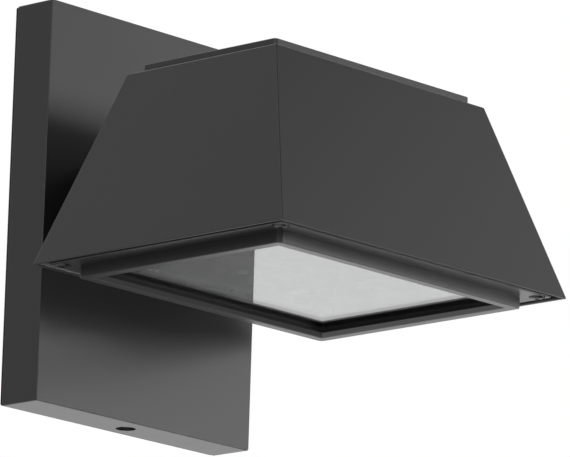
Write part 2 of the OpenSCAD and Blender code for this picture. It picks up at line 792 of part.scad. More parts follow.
// Screws through the optic block and the board into the heat sink
module optic_screws() {
    l = optic_h + optic_gap + board_t + sink_t - sink_skin - short_end_gap;
    color(anodised) at_hood() four(optic_screw_at) translate([0, 0, optic_top_z - optic_h])
        button_screw(small_screw_d, l, optic_head_d, optic_head_h, small_socket);
}

// Connector on the board's tab, open at its end for the two leads
module board_connector() {
    color([0.92, 0.92, 0.9]) at_hood() difference() {
        translate([connector_x, -connector_d / 2, board_z - connector_h])
            cube([connector_w, connector_d, connector_h]);
        for (y = [-1, 1])
            translate([connector_x + connector_floor, y * connector_d / 4, board_z - connector_h / 2])
                rotate([0, 90, 0]) cylinder(d = lead_d + 2 * lead_gap, h = connector_w);
    }
}

// Driver: a potted housing that hangs from two bosses under the roof
driver_top_z = ceiling_z - driver_gap;
driver_tab_z = ceiling_z - driver_boss_l;
driver_entry_low = 3;
driver_entry_l = 3;
driver_lead_z = driver_top_z - driver_h / 2 - driver_entry_low;
driver_lead_y = driver_d / 9;
module driver() {
    color([0.75, 0.76, 0.78]) at_hood() difference() {
        union() {
            rounded_block([driver_w / 2, driver_d / 2], block_corner, driver_top_z - driver_h, driver_top_z);
            rounded_block(driver_tab_half, block_corner, driver_tab_z - driver_tab_t, driver_tab_z);
        }
        for (x = [-1, 1]) translate([x * driver_boss_x, 0, driver_tab_z - driver_tab_t - cut])
            cylinder(d = small_screw_d + 2 * hole_gap, h = driver_tab_t + 2 * cut);
        for (x = [-1, 1], y = [-1, 1])
            translate([x * (driver_w / 2 - driver_entry_l), y * driver_lead_y, driver_lead_z])
                rotate([0, x * 90, 0]) cylinder(d = lead_d + 2 * lead_gap, h = driver_entry_l + cut);
    }
}

// Screws of the driver
module driver_screws() {
    l = driver_tab_t + driver_boss_l + blind_l - end_gap;
    color(steel) at_hood() for (x = [-1, 1])
        translate([x * driver_boss_x, 0, driver_tab_z - driver_tab_t])
            pan_screw(small_screw_d, l, small_head_d, small_head_h);
}

// A lead is one tube, swept along a smooth curve through points chosen by hand
function unit(v) = v / norm(v);
function curve_point(p, i, t) =
    let (n = len(p) - 1,
         a = i == 0 ? 2 * p[0] - p[1] : p[i - 1],
         b = p[i],
         c = p[i + 1],
         d = i + 2 > n ? 2 * p[n] - p[n - 1] : p[i + 2])
    0.5 * (2 * b + t * (c - a) + t * t * (2 * a - 5 * b + 4 * c - d) + t * t * t * (3 * b - 3 * c + d - a));
function smooth(p, steps) = concat([for (i = [0 : len(p) - 2], k = [0 : steps - 1])
    curve_point(p, i, k / steps)], [p[len(p) - 1]]);
function tangent(p, i) = unit(p[min(i + 1, len(p) - 1)] - p[max(i - 1, 0)]);
// Side vectors that turn as little as they can from ring to ring
function sides(p, i, last) =
    i == len(p) ? [] :
    let (t = tangent(p, i),
         s = unit(last - (last * t) * t))
    concat([s], sides(p, i + 1, s));
module tube(points, d) {
    n = 8;
    steps = 4;
    p = smooth(points, steps);
    start = unit(cross(tangent(p, 0), [0.31, 0.52, 0.8]));
    s = sides(p, 0, start);
    rings = [for (i = [0 : len(p) - 1], k = [0 : n - 1])
        p[i] + d / 2 * (cos(360 * k / n) * s[i] + sin(360 * k / n) * cross(tangent(p, i), s[i]))];
    last = (len(p) - 1) * n;
    polyhedron(rings, concat(
        [[for (k = [n - 1 : -1 : 0]) k]],
        [for (i = [0 : len(p) - 2], k = [0 : n - 1]) [i * n + k, i * n + (k + 1) % n, (i + 1) * n + k]],
        [for (i = [0 : len(p) - 2], k = [0 : n - 1])
            [i * n + (k + 1) % n, (i + 1) * n + (k + 1) % n, (i + 1) * n + k]],
        [[for (k = [0 : n - 1]) last + k]]));
}

// Where the supply leads start, pass the plate and the grommet, and end
lead_start_z = block_z - block_h / 2;
lead_start_y = plate_floor_y + block_d / 2;
grommet_z = rim_z + grommet_v * cos(back_tilt);
grommet_y = back_face_y(grommet_z);
driver_end = [-driver_w / 2, -hood_reach, driver_lead_z];

// The leads' paths were drawn at these sizes and grow with them
drawn_neck_h = 44;
drawn_lead_hole_d = 18;
drawn_driver_w = 72;
lead_pitch = 2.6;

// A supply lead from the terminal block through the neck, up to the grommet's inner end.
// Its bends follow the neck's height (u) and the lead hole's width (w).
function supply_route(x, side, rise) =
    let (u = neck_h / drawn_neck_h,
         w = lead_hole_d / drawn_lead_hole_d,
         dx = side * lead_pitch * w,
         dz = rise * w) [
    [x, lead_start_y, lead_start_z + 3 * u],
    [x, lead_start_y, lead_start_z - 4 * u],
    [x * 0.6 + dx, lead_start_y + u, lead_start_z - 16 * u],
    [x * 0.2 + dx, lead_start_y - u, neck_z + 9 * u],
    [dx, plate_floor_y - 2 * w, neck_z + 2 * w + dz],
    [dx, -plate_d - 8 * u, neck_z + dz],
    [dx, grommet_y + 6 * w, grommet_z + w + dz],
    [dx, grommet_y - w, grommet_z - w + dz],
    [dx, grommet_y - 6 * w, grommet_z + w + dz]];

// Line lead: terminal block to the driver's input
module line_lead() {
    u = driver_w / drawn_driver_w;
    color([0.05, 0.05, 0.05]) tube(concat(supply_route(-block_w / 3, -1, -0.6), [
        [-10 * u, grommet_y - 9 * u, grommet_z + 8 * u],
        [-28 * u, grommet_y - 17 * u, driver_lead_z - 7 * u],
        [-41 * u, grommet_y - 29 * u, driver_lead_z - u],
        [-45 * u, driver_end[1] + 12 * u, driver_lead_z],
        [-42 * u, driver_end[1] + driver_lead_y, driver_lead_z],
        [driver_end[0] + 2 * u, driver_end[1] + driver_lead_y, driver_lead_z]]), lead_d);
}

// Neutral lead: terminal block to the driver's input
module neutral_lead() {
    u = driver_w / drawn_driver_w;
    color([0.9, 0.9, 0.9]) tube(concat(supply_route(0, 0, 2), [
        [-8 * u, grommet_y - 9 * u, grommet_z + 11 * u],
        [-26 * u, grommet_y - 18 * u, driver_lead_z - 3 * u],
        [-41 * u, grommet_y - 32 * u, driver_lead_z - 5 * u],
        [-47 * u, driver_end[1] + 8 * u, driver_lead_z - 4 * u],
        [-46 * u, driver_end[1] - u, driver_lead_z - u],
        [-42 * u, driver_end[1] - driver_lead_y, driver_lead_z],
        [driver_end[0] + 2 * u, driver_end[1] - driver_lead_y, driver_lead_z]]), lead_d);
}

// Ground lead: terminal block to the ring terminal under the roof
module ground_lead() {
    y = -hood_reach + roof_screw_y;
    u = driver_w / drawn_driver_w;
    color([0.15, 0.5, 0.2]) tube(concat(supply_route(block_w / 3, 1, -0.6), [
        [12 * u, grommet_y - 10 * u, grommet_z + 9 * u],
        [20 * u, y + 3 * u, ceiling_z - 15 * u],
        [ring_lug_l + 15 * u, y + u, ceiling_z - 7 * u],
        [ring_lug_l + 11 * u, y, ring_barrel_z - 0.6 * u],
        [ring_lug_l + 5 * u, y, ring_barrel_z],
        [ring_lug_l + u, y, ring_barrel_z]]), lead_d);
}

// Ring terminal: a flat eye under the roof screw, with a barrel round the lead's end
ring_t = 0.7;
ring_lug_l = main_head_d * 0.75;
ring_barrel_wall = 0.7;
ring_barrel_d = lead_d + 2 * ring_barrel_wall;
ring_barrel_l = 5;
ring_barrel_z = ceiling_z - push_gap - ring_barrel_d / 2;
ring_strip_w = ring_barrel_d * 0.9;
ring_overlap = 0.5;
ring_floor = 0.8;
module ring_terminal() {
    color(zinc) translate([0, -hood_reach + roof_screw_y, ceiling_z - ring_t - push_gap]) difference() {
        union() {
            cylinder(d = main_head_d, h = ring_t);
            translate([0, -ring_strip_w / 2, 0]) cube([ring_lug_l + ring_overlap, ring_strip_w, ring_t]);
            translate([ring_lug_l - ring_overlap, 0, ring_t - ring_barrel_d / 2]) rotate([0, 90, 0])
                cylinder(d = ring_barrel_d, h = ring_barrel_l);
        }
        translate([0, 0, -cut]) cylinder(d = main_screw_d + 2 * hole_gap, h = ring_t + 2 * cut);
        translate([ring_lug_l - ring_overlap + ring_floor, 0, ring_t - ring_barrel_d / 2]) rotate([0, 90, 0])
            cylinder(d = lead_d + 2 * push_gap, h = ring_barrel_l);
    }
}

// A lead from the driver's output down through the heat sink's notch to the board
notch_x = sink_w / 2 - notch_w / 2;
function board_route(side, dx) =
    let (u = driver_w / drawn_driver_w,
         y1 = side * driver_lead_y - hood_reach,
         y2 = side * connector_d / 4 - hood_reach) [
    [driver_w / 2 - 2 * u, y1, driver_lead_z],
    [driver_w / 2 + 5 * u, y1, driver_lead_z],
    [driver_w / 2 + 14 * u, y1, driver_lead_z - 6 * u],
    [notch_x + dx * u, (y1 + y2) / 2, sink_top_z + fin_h],
    [notch_x, y2, sink_top_z + 2 * u],
    [notch_x - 0.4 * u, y2, sink_z - 0.4 * u],
    [connector_x + connector_w + 2.4 * u, y2, board_z - connector_h / 2],
    [connector_x + connector_w - 2 * u, y2, board_z - connector_h / 2]];

module plus_lead() {
    color([0.7, 0.1, 0.08]) tube(board_route(1, 0.5), lead_d);
}

module minus_lead() {
    color([0.08, 0.08, 0.08]) tube(board_route(-1, -0.5), lead_d);
}

// Lock screw: turned in from below until it bears on the bracket's lower tab
module lock_screw() {
    head_z = -plate_h / 2 + lock_bore_l - seat_gap;
    color(steel) translate([0, lock_y, head_z])
        socket_screw(main_screw_d, strap_low_z - thread_gap - head_z, lock_head_d, lock_head_h, lock_socket);
}

// Lens frame: a flange inside the hood's lip and a ring that stands below it
module lens_frame() {
    color(coat) at_hood() difference() {
        union() {
            rounded_block(flange_half, inner_corner, flange_z, flange_top_z);
            rounded_block(ring_half, ring_corner, ring_z, flange_z + ring_root);
        }
        // Opening below the glass, with its shallow bevel
        rounded_block(lip_half, inner_corner, ring_z - cut, flange_top_z + cut);
        intersection() {
            rotate([90, 0, 0]) linear_extrude(2 * rim_d, center = true)
                bevel_profile(bevel_half[0], lip_half[0]);
            rotate([90, 0, 90]) linear_extrude(2 * rim_w, center = true)
                bevel_profile(bevel_half[1], lip_half[1]);
        }
        // Pocket for the glass, open above
        rounded_block(pocket_half, inner_corner, lip_top_z, flange_top_z + cut);
        // Screw holes, with a shallow recess round each head
        four(frame_screw_at) translate([0, 0, flange_z - cut]) {
            cylinder(d = frame_screw_d + 2 * hole_gap, h = flange_t + 2 * cut);
            cylinder(d = frame_screw_head + 2 * head_recess_gap, h = frame_head_sink + cut);
        }
    }
}

// Section of the bevel, wider at the ring's lowest face
module bevel_profile(low, high) {
    polygon([[-low, ring_z - cut], [low, ring_z - cut], [low, ring_z], [high, ring_z + bevel_h],
             [-high, ring_z + bevel_h], [-low, ring_z]]);
}

// Seal between the flange, the edge of the glass and the hood's ledge
module frame_seal() {
    t = frame_seal_t - push_gap;
    color(seal_black) at_hood() translate([0, 0, flange_top_z]) linear_extrude(t) difference() {
        rounded_rect(flange_half - [seal_margin, seal_margin], inner_corner);
        rounded_rect(ledge_half, inner_corner);
        four(frame_screw_at) circle(d = frame_screw_d + 2 * hole_gap);
    }
}

// Seal under the edge of the glass
module lens_seal() {
    color(seal_black) at_hood() translate([0, 0, lip_top_z]) linear_extrude(lens_seal_t) difference() {
        rounded_rect(glass_half, inner_corner);
        rounded_rect(lip_half, inner_corner);
    }
}

// Tempered glass pane
module lens_glass() {
    color([0.6, 0.65, 0.65, 0.5]) at_hood()
        rounded_block(glass_half, inner_corner, glass_z, glass_z + glass_t);
}

// The four screws of the lens frame
module frame_screws() {
    head_z = flange_z + frame_head_sink;
    l = flange_t - frame_head_sink + frame_seal_t + frame_thread_l - end_gap;
    color(steel) at_hood() four(frame_screw_at) translate([0, 0, head_z])
        button_screw(frame_screw_d, l, frame_screw_head, frame_head_h, small_socket);
}

// Small rings that keep each lens frame screw captive
module screw_seals() {
    color(seal_black) at_hood() four(frame_screw_at) translate([0, 0, flange_top_z + 2 * push_gap])
        linear_extrude(frame_seal_t - seat_gap) difference() {
            circle(d = frame_screw_d + 2 * (hole_gap - push_gap));
            circle(d = frame_screw_d + 2 * push_gap);
        }
}

wall_bracket();
ground_screw();
back_plate();
wall_seal();
terminal_block();
terminal_screws();
neck_seal();
neck();
neck_screws();
hood_seal();
hood_screws();
grommet();
hood();
roof_screw();
cap_seal();
top_cap();
cap_screws();
heat_sink();
heat_sink_screws();
light_board();
leds();
optic_block();
optic_screws();
board_connector();
driver();
driver_screws();
line_lead();
neutral_lead();
ground_lead();
ring_terminal();
plus_lead();
minus_lead();
lock_screw();
lens_frame();
frame_seal();
lens_seal();
lens_glass();
frame_screws();
screw_seals();
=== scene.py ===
"""Outdoor wall light: looks for a tapered downlight hood on a rectangular back plate.

Lengths are metres in the part's frame: X along the wall, +Y into the wall, Z up.
"""

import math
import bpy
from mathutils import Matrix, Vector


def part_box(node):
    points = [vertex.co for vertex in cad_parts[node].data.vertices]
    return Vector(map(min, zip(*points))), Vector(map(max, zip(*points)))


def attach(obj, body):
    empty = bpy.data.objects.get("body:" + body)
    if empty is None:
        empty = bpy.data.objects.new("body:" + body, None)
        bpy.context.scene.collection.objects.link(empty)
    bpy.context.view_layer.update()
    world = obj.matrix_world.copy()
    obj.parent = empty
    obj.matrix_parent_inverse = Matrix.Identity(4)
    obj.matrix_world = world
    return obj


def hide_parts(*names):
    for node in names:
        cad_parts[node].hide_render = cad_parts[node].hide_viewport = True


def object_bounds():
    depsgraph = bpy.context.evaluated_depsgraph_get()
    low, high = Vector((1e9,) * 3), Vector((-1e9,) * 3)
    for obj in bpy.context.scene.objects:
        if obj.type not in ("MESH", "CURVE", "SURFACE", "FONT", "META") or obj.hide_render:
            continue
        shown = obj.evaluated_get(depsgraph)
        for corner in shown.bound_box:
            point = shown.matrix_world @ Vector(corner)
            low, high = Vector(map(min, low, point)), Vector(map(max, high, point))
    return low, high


bl_info = {
    "name": "Outdoor Wall Light",
    "version": (1, 0, 0),
    "blender": (4, 5, 0),
    "location": "View3D > Sidebar > Wall Light",
    "description": "Builds the finishes, softened edges and studio of an outdoor wall light",
    "category": "Object",
}

import bmesh
import bpy
from bpy.props import FloatProperty, FloatVectorProperty, IntProperty, PointerProperty
from bpy.types import Operator, Panel, PropertyGroup
from mathutils import Matrix, Vector

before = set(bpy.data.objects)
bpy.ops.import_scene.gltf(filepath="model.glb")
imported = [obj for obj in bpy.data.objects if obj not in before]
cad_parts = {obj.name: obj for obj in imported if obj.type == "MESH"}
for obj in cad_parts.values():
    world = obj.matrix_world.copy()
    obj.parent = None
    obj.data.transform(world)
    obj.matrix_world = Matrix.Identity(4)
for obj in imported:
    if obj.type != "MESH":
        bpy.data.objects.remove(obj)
CAD_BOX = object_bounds()

MM = 0.001

# Pieces in powder coat
HOUSING = ("back_plate", "neck", "hood", "top_cap", "lens_frame")
SILICONE_SEALS = (
    "neck_seal", "hood_seal", "grommet", "cap_seal", "frame_seal", "lens_seal", "screw_seals",
)
STAINLESS_SCREWS = (
    "terminal_screws", "neck_screws", "hood_screws", "cap_screws", "heat_sink_screws",
    "driver_screws", "lock_screw",
)

# Painted shade on the lens frame's inner wall just below the pane: a black band where the recess lies in
# shadow, rough so that it mirrors no lamp. Its half size less the pane's, and where it fades past that
PAINTED_SHADE_REACH = (-3 * MM, -3 * MM, 1.9 * MM)
PAINTED_SHADE_FADE = (0.05 * MM, 0.3 * MM)
PAINTED_SHADE_COLOR = (0.004, 0.004, 0.004)
PAINTED_SHADE_ROUGHNESS = 0.9

# Copper cells on the light board, in a metre, and how wide the gap between them is, as a share of a cell
BOARD_CELLS = 110.0
BOARD_GAP = (0.02, 0.05)

# Vertices closer than this are one, and faces that turn less than this are one flat
WELD = 0.002 * MM
FLAT_TURN = math.radians(0.5)
# An edge can be rounded above the first turn, and shades as a crisp edge above the second
EDGE_TURN = math.radians(15)
CRISP_TURN = math.radians(31)
# Two levels or sides closer than this are the same
TOUCH = 0.01 * MM
# The hood's outer edges are longer than this, and those of its holes are shorter
HOOD_EDGE = 60 * MM
# The ends of an outline's edges lie no further than this inside the piece's box
PLATE_CORNER = 2.2 * MM
FLANGE_CORNER = 1.1 * MM

# The photograph's camera: degrees, pixels and metres. Its target is the middle of the back plate's lower edge
# on the wall, measured right, down and ahead of the lens
CAMERA = {
    "azimuth": 47.0144,
    "elevation": -13.2197,
    "roll": 1.7702,
    "focal_px": 6300.9,
    "frame_width_px": 570,
    "target_from_lens": (-0.0664, 0.0761, 2.3601),
    "target_level": -0.0762,
}
SENSOR_WIDTH_MM = 36
NEAREST_SEEN = 0.1
FARTHEST_SEEN = 50

# The point that the lamps face
MIDDLE = Vector((0, -0.08, 0))
# Each lamp's setting, its degrees right of the front and up, its degrees across and high, and its distance
LAMPS = {
    "strip_lamp": ("strip_level", (40, 7.8), (50, 15), 5.0),
    "middle_lamp": ("middle_level", (48, 2.5), (24, 8), 5.0),
    "low_lamp": ("low_level", (63, -16), (24, 12), 1.7),
    "high_lamp": ("high_level", (64, 29), (36, 16), 5.0),
}
# Where the studio changes: by the Y of a direction from the front to the backdrop, and by its X from the
# backdrop's dimmest to its brightest part, and from the fill at the front left to the room
BACKDROP_FROM = (0.08, 0.26)
BACKDROP_DIMS = (-0.5, 0.5)
BACKDROP_DIMMEST = 0.56
FILL_ENDS = (-0.35, 0.2)
# Power of a lamp for each unit of its brightness and each square metre
LAMP_POWER = 4
# Half the floor's width, and its cells each way
FLOOR_HALF = 6.0
FLOOR_CELLS = 12
FLOOR_GREY = 0.8
# How much of the floor's white is its own, with the rest left to the lamps and the light's shadow
FLOOR_GLOW = 0.75


# Settings that a user would change


class CoatSettings(PropertyGroup):
    """The powder coat on the housing."""

    color: FloatVectorProperty(
        name="Colour",
        description="Colour of the powder coat",
        default=(0.022, 0.0222, 0.0222),
        min=0,
        max=1,
        subtype="COLOR",
    )
    roughness: FloatProperty(
        name="Roughness",
        description="How satin the coat is",
        default=0.35,
        min=0.1,
        max=1,
        subtype="FACTOR",
    )
    grain: FloatProperty(
        name="Grain",
        description="Width of one grain of the texture",
        default=0.0004,
        min=0.0001,
        max=0.002,
        precision=5,
        subtype="DISTANCE",
        unit="LENGTH",
    )
    depth: FloatProperty(
        name="Grain depth",
        description="Height of the texture",
        default=0.000012,
        min=0,
        max=0.0002,
        precision=6,
        subtype="DISTANCE",
        unit="LENGTH",
    )
    edge: FloatProperty(
        name="Edge radius",
        description="Rounding of the housing's edges",
        default=0.0004,
        min=0.0001,
        max=0.001,
        precision=5,
        subtype="DISTANCE",
        unit="LENGTH",
    )
    edge_steps: IntProperty(
        name="Edge steps",
        description="Faces across one rounded edge",
        default=3,
        min=1,
        max=6,
    )


class GlassSettings(PropertyGroup):
    """The clear pane below the hood."""

    tint: FloatVectorProperty(
        name="Tint",
        description="Colour of the pane",
        default=(0.93, 0.96, 0.95),
        min=0,
        max=1,
        subtype="COLOR",
    )
    ior: FloatProperty(
        name="Refraction",
        description="Index of refraction, which sets how strongly the pane mirrors",
        default=1.62,
        min=1.3,
        max=2.0,
    )


class StudioSettings(PropertyGroup):
    """Floor, lamps and background."""

    floor_drop: FloatProperty(
        name="Floor drop",
        description="Distance of the floor below the light",
        default=0.75,
        min=0.05,
        max=2,
        subtype="DISTANCE",
        unit="LENGTH",
    )
    strip_level: FloatProperty(
        name="Strip lamp",
        description="Brightness of the wide strip lamp in front",
        default=2.7,
        min=0,
        max=60,
    )
    middle_level: FloatProperty(
        name="Middle lamp",
        description="Brightness of the lamp in the strip's middle",
        default=0.85,
        min=0,
        max=60,
    )
    low_level: FloatProperty(
        name="Low lamp",
        description="Brightness of the lamp below the strip",
        default=12.8,
        min=0,
        max=60,
    )
    high_level: FloatProperty(
        name="High lamp",
        description="Brightness of the lamp at the upper right",
        default=0.88,
        min=0,
        max=60,
    )
    ambient: FloatProperty(
        name="Ambient",
        description="Strength of the even light from all round",
        default=0.3,
        min=0,
        max=2,
    )
    backdrop: FloatProperty(
        name="Backdrop",
        description="Brightness of the backdrop behind the light, as glass and coat mirror it",
        default=1.2,
        min=0,
        max=1.5,
    )
    room: FloatProperty(
        name="Room",
        description="Brightness of the room at the front right, as glass and coat mirror it",
        default=0.05,
        min=0,
        max=1.5,
    )
    fill: FloatProperty(
        name="Fill",
        description="Brightness of the room at the front left, as glass and coat mirror it",
        default=1.4,
        min=0,
        max=3,
    )


SETTINGS = {
    "wall_light_coat": CoatSettings,
    "wall_light_glass": GlassSettings,
    "wall_light_studio": StudioSettings,
}


# Shader maths


# Inputs and output of a Mix node that mixes colours
MIX_FACTOR = 0
MIX_FIRST = 6
MIX_SECOND = 7
MIX_COLOR = 2


class Value:
    """A shader value: arithmetic on it adds Math nodes to its material."""

    def __init__(self, shader, socket):
        self.shader = shader
        self.socket = socket

    def _with(self, operation, first, second):
        node = self.shader.node("ShaderNodeMath", {0: first, 1: second}, operation=operation)
        return Value(self.shader, node.outputs[0])

    def __add__(self, other):
        return self._with("ADD", self, other)

    def __radd__(self, other):
        return self._with("ADD", other, self)

    def __sub__(self, other):
        return self._with("SUBTRACT", self, other)

    def __rsub__(self, other):
        return self._with("SUBTRACT", other, self)

    def __mul__(self, other):
        return self._with("MULTIPLY", self, other)

    def __rmul__(self, other):
        return self._with("MULTIPLY", other, self)

    def least(self, other):
        """The smaller of two values."""
        return self._with("MINIMUM", self, other)


class Shader:
    """A node tree, with one method that adds any node."""

    def __init__(self, tree):
        self.tree = tree
        tree.nodes.clear()

    def node(self, kind, inputs=None, **settings):
        """A new node: its settings first, then a value or a link for each named or numbered input."""
        made = self.tree.nodes.new(kind)
        for key, value in settings.items():
            setattr(made, key, value)
        for key, value in (inputs or {}).items():
            self.join(value, made.inputs[key])
        return made

    def join(self, value, target):
        """Links a value or an output to an input, or sets the input to a plain number or colour."""
        if isinstance(value, Value):
            self.tree.links.new(value.socket, target)
        elif isinstance(value, bpy.types.NodeSocket):
            self.tree.links.new(value, target)
        else:
            target.default_value = value

    def place(self):
        """Position on the object, in metres."""
        return self.node("ShaderNodeTexCoord").outputs["Object"]

    def noise(self, size, detail=2.0, roughness=0.5, stretch=None):
        """A noise value from 0 to 1 whose blotches are about this wide."""
        at = self.place()
        if stretch:
            at = self.node("ShaderNodeMapping", {"Vector": at, "Scale": stretch}).outputs[0]
        inputs = {"Vector": at, "Scale": 1 / size, "Detail": detail, "Roughness": roughness}
        return Value(self, self.node("ShaderNodeTexNoise", inputs).outputs[0])

    def fade(self, value, start, end, first=0.0, last=1.0):
        """A value that goes from first to last while the given one goes from start to end."""
        inputs = {0: value, 1: start, 2: end, 3: first, 4: last}
        return Value(self, self.node("ShaderNodeMapRange", inputs).outputs[0])

    def shade(self, low, high, by):
        """A colour between two, by a value."""
        inputs = {MIX_FACTOR: by, MIX_FIRST: low, MIX_SECOND: high}
        return self.node("ShaderNodeMix", inputs, data_type="RGBA").outputs[MIX_COLOR]

    def relief(self, height, depth):
        """A normal from a height of 0 to 1 and its depth in metres."""
        bump = self.node("ShaderNodeBump", {"Height": height, "Distance": depth, "Strength": 1.0})
        return bump.outputs[0]


def opaque(color):
    """A colour with the fourth number that colour inputs take."""
    return (*color, 1)


def tone(color, factor):
    """A colour made darker or lighter."""
    return opaque(min(1.0, part * factor) for part in color)


def socket_name(key):
    """A socket's name from a keyword, which has _ for each space."""
    return key.replace("_", " ")


def finish(name, **sockets):
    """A material with one Principled shader, and the values of its even sockets.

    A material that exists already comes back alone, with nothing left to do on it.
    """
    title = name + "_finish"
    found = bpy.data.materials.get(title)
    if found:
        return found, None, None
    material = bpy.data.materials.new(title)
    material.use_nodes = True
    shader = Shader(material.node_tree)
    surface = shader.node("ShaderNodeBsdfPrincipled")
    shader.node("ShaderNodeOutputMaterial", {"Surface": surface.outputs[0]})
    for key, value in sockets.items():
        surface.inputs[socket_name(key)].default_value = value
    return material, shader, surface


def feed(shader, surface, **links):
    """Links what changes over the surface."""
    for key, value in links.items():
        shader.join(value, surface.inputs[socket_name(key)])


# Finishes


def painted_wall_shade(shader):
    """Mask of the painted shade: 1 on the lens frame's inner wall just below the pane, where the recess lies
    in shadow, and 0 on the rest of the frame.
    """
    low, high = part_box("lens_glass")
    reach = (high - low) / 2 + Vector(PAINTED_SHADE_REACH)
    offset = {0: shader.place(), 1: (low + high) / 2}
    away = shader.node("ShaderNodeVectorMath", offset, operation="SUBTRACT").outputs[0]
    apart = shader.node("ShaderNodeVectorMath", {0: away}, operation="ABSOLUTE").outputs[0]
    parts = shader.node("ShaderNodeSeparateXYZ", {"Vector": apart})
    painted_shade_mask = 1.0
    for axis in range(3):
        start, end = (reach[axis] + past for past in PAINTED_SHADE_FADE)
        painted_shade_mask = painted_shade_mask * shader.fade(parts.outputs[axis], start, end, 1.0, 0.0)
    return painted_shade_mask


def powder_coat(name, with_painted_shade=False):
    """Charcoal powder coat, an orange-peel grain under a satin sheen, with painted shade on the lens frame's
    inner wall if asked.
    """
    coat = bpy.context.scene.wall_light_coat
    material, shader, surface = finish(name, IOR=1.5, Specular_IOR_Level=0.5)
    if shader:
        grain = shader.noise(coat.grain, detail=2.0, roughness=0.6)
        peel = shader.noise(coat.grain * 4, detail=1.0)
        drift = shader.noise(50 * MM, detail=3.0)
        mottle = 0.6 * grain + 0.4 * drift
        color = shader.shade(tone(coat.color, 0.86), tone(coat.color, 1.14), mottle)
        height = 0.7 * grain + 0.3 * peel
        rough = coat.roughness - 0.04 + 0.08 * grain
        # Painted shade: near-black colour on the frame's inner wall below the pane, where the recess lies in
        # shadow
        if with_painted_shade:
            painted_shade_mask = painted_wall_shade(shader)
            color = shader.shade(color, opaque(PAINTED_SHADE_COLOR), painted_shade_mask)
            rough = rough + (PAINTED_SHADE_ROUGHNESS - rough) * painted_shade_mask
        normal = shader.relief(height, coat.depth)
        feed(shader, surface, Base_Color=color, Roughness=rough, Normal=normal)
    return material


def plated_steel(name, color, roughness):
    """Zinc-plated, stainless or blackened steel with faint rolling streaks."""
    material, shader, surface = finish(name, Metallic=1.0)
    if shader:
        streak = shader.noise(0.6 * MM, detail=3.0, stretch=(1, 1, 0.08))
        cloud = shader.noise(8 * MM, detail=3.0)
        tint = shader.shade(tone(color, 0.84), tone(color, 1.1), 0.5 * streak + 0.5 * cloud)
        rough = roughness + 0.16 * streak + 0.1 * cloud - 0.1
        normal = shader.relief(streak, 0.004 * MM)
        feed(shader, surface, Base_Color=tint, Roughness=rough, Normal=normal)
    return material


def painted(name, color, roughness):
    """Thin smooth paint on a screw."""
    material, shader, surface = finish(name)
    if shader:
        cloud = shader.noise(1.5 * MM, detail=3.0)
        tint = shader.shade(tone(color, 0.8), tone(color, 1.15), cloud)
        rough = roughness + 0.15 * cloud
        normal = shader.relief(cloud, 0.02 * MM)
        feed(shader, surface, Base_Color=tint, Roughness=rough, Normal=normal)
    return material


def rubber(name, color, pore, depth):
    """Black silicone, or foam when the pores are deep."""
    material, shader, surface = finish(name, Specular_IOR_Level=0.35)
    if shader:
        skin = shader.noise(pore, detail=3.0, roughness=0.65)
        tint = shader.shade(tone(color, 0.7), tone(color, 1.6), skin)
        rough = 0.62 + 0.25 * skin
        normal = shader.relief(skin, depth)
        feed(shader, surface, Base_Color=tint, Roughness=rough, Normal=normal)
    return material


def moulded(name, color, roughness, gloss):
    """Moulded plastic with a fine spark-eroded skin."""
    material, shader, surface = finish(name, Specular_IOR_Level=gloss)
    if shader:
        skin = shader.noise(0.5 * MM, detail=2.0)
        cloud = shader.noise(10 * MM, detail=2.0)
        tint = shader.shade(tone(color, 0.92), tone(color, 1.06), 0.5 * skin + 0.5 * cloud)
        rough = roughness - 0.05 + 0.12 * skin
        normal = shader.relief(skin, 0.01 * MM)
        feed(shader, surface, Base_Color=tint, Roughness=rough, Normal=normal)
    return material


def anodised():
    """Black anodised aluminium with extrusion lines."""
    material, shader, surface = finish("anodised", Metallic=0.35)
    if shader:
        line = shader.noise(0.4 * MM, detail=2.0, stretch=(1, 0.04, 0.2))
        tint = shader.shade((0.012, 0.012, 0.013, 1), (0.032, 0.032, 0.034, 1), line)
        rough = 0.36 + 0.2 * line
        normal = shader.relief(line, 0.006 * MM)
        feed(shader, surface, Base_Color=tint, Roughness=rough, Normal=normal)
    return material


def driver_case():
    """Pressed aluminium case, lightly brushed along its length."""
    material, shader, surface = finish("driver_case", Metallic=0.9)
    if shader:
        brush = shader.noise(0.4 * MM, detail=4.0, stretch=(0.03, 1, 1))
        cloud = shader.noise(12 * MM, detail=2.0)
        by = 0.6 * brush + 0.4 * cloud
        tint = shader.shade((0.42, 0.43, 0.44, 1), (0.62, 0.63, 0.64, 1), by)
        rough = 0.3 + 0.22 * brush
        normal = shader.relief(brush, 0.005 * MM)
        feed(shader, surface, Base_Color=tint, Roughness=rough, Normal=normal)
    return material


def solder_mask():
    """White solder mask with the faint relief of its copper."""
    material, shader, surface = finish("solder_mask")
    if shader:
        cells = shader.node(
            "ShaderNodeTexVoronoi",
            {"Vector": shader.place(), "Scale": BOARD_CELLS},
            feature="DISTANCE_TO_EDGE",
            distance="CHEBYCHEV",
        )
        track = shader.fade(cells.outputs[0], *BOARD_GAP)
        tint = shader.shade((0.66, 0.68, 0.66, 1), (0.76, 0.78, 0.76, 1), track)
        rough = 0.3 + 0.12 * shader.noise(2 * MM)
        normal = shader.relief(track, 0.03 * MM)
        feed(shader, surface, Base_Color=tint, Roughness=rough, Normal=normal)
    return material


def phosphor():
    """Yellow phosphor under clear silicone."""
    material, shader, surface = finish("phosphor", Coat_Weight=0.6, Coat_Roughness=0.08)
    if shader:
        grain = shader.noise(0.25 * MM, detail=2.0)
        tint = shader.shade((0.72, 0.55, 0.10, 1), (0.86, 0.72, 0.24, 1), grain)
        rough = 0.35 + 0.2 * grain
        normal = shader.relief(grain, 0.01 * MM)
        feed(shader, surface, Base_Color=tint, Roughness=rough, Normal=normal)
    return material


